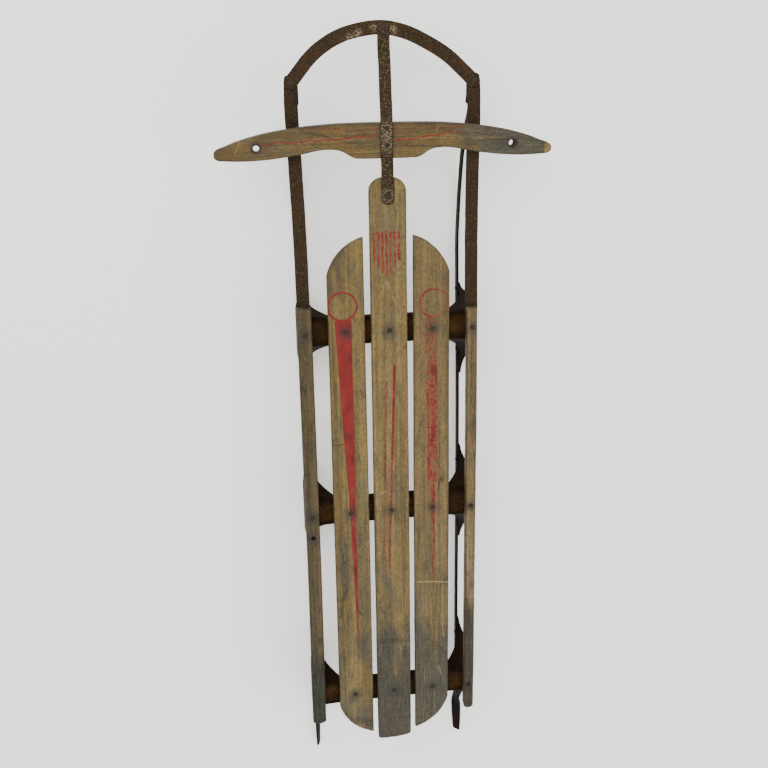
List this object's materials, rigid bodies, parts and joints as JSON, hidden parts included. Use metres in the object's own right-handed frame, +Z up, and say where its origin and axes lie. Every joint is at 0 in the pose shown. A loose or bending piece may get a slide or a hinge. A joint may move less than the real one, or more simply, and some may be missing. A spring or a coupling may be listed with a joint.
{
  "type": "steerable runner sled",
  "caption": "Steerable sled with a slatted wooden deck on pressed steel benches, steel strip runners, a bumper bow, and a wooden steering bar that bends the runners to turn.",
  "frame": {"origin": "on the ground under the middle of the sled's length and width, at the height of the runners' soles", "axes": "+Y is the direction of travel, +X is the sled's right side seen from above, +Z is up"},
  "size_m": [0.548, 1.424, 0.1382],
  "materials": {
    "slat_wood": "weathered, worn varnish, traces of red paint",
    "rail_wood": "weathered grey brown",
    "bar_wood": "weathered, worn",
    "bench_steel": "dark enamel worn through to brown rust",
    "runner_steel": "rusted and pitted",
    "rivet_steel": "rusted"
  },
  "bodies": {
    "sled_frame": {"slat_left": "slat_wood", "slat_centre": "slat_wood", "slat_right": "slat_wood", "rail_left": "rail_wood", "rail_right": "rail_wood", "bench_front": "bench_steel", "bench_middle": "bench_steel", "bench_rear": "bench_steel", "runner_left": "runner_steel", "runner_right": "runner_steel", "tongue_pivot_bolt": "rivet_steel", "tongue_pivot_nut": "rivet_steel", "tongue_pivot_washer": "rivet_steel", "slat_rivets": "rivet_steel", "slat_rivet_washers": "rivet_steel", "rail_rivets": "rivet_steel", "rail_rivet_washers": "rivet_steel", "strap_pivot_left": "rivet_steel", "strap_pivot_right": "rivet_steel", "foot_rivets": "rivet_steel"},
    "steering": {"steering_tongue": "runner_steel", "steering_bar": "bar_wood", "bar_rivets": "rivet_steel", "bar_rivet_washers": "rivet_steel"},
    "bow": {"bumper_bow": "runner_steel", "bow_centre_rivet": "rivet_steel", "nose_rivet_left": "rivet_steel", "nose_rivet_right": "rivet_steel"},
    "front_left": {"runner_front_left": "runner_steel", "strap_left": "runner_steel"},
    "front_right": {"runner_front_right": "runner_steel", "strap_right": "runner_steel"}
  },
  "joints": [
    {"name": "steer", "type": "hinge", "parent": "sled_frame", "child": "steering", "pos_m": [0, 0.441, 0.13], "axis": [0, 0, 1], "range_deg": [-8, 8], "stiffness_Nm_per_rad": 12},
    {"name": "bow_swivel", "type": "hinge", "parent": "steering", "child": "bow", "pos_m": [0, 0.701, 0.1], "axis": [0, 0, 1], "range_deg": [-8.5, 8.5]},
    {"name": "front_left_swing", "type": "hinge", "parent": "sled_frame", "child": "front_left", "pos_m": [-0.143, 0.211, 0.12], "axis": [0, 0, 1], "range_deg": [-5.6, 5.6]},
    {"name": "front_right_swing", "type": "hinge", "parent": "sled_frame", "child": "front_right", "pos_m": [0.143, 0.211, 0.12], "axis": [0, 0, 1], "range_deg": [-5.6, 5.6]}
  ],
  "couplings": [
    {"joint": "bow_swivel", "follows": "steer", "ratio": -1},
    {"joint": "front_left_swing", "follows": "steer", "ratio": 0.63882},
    {"joint": "front_right_swing", "follows": "steer", "ratio": 0.63882}
  ]
}
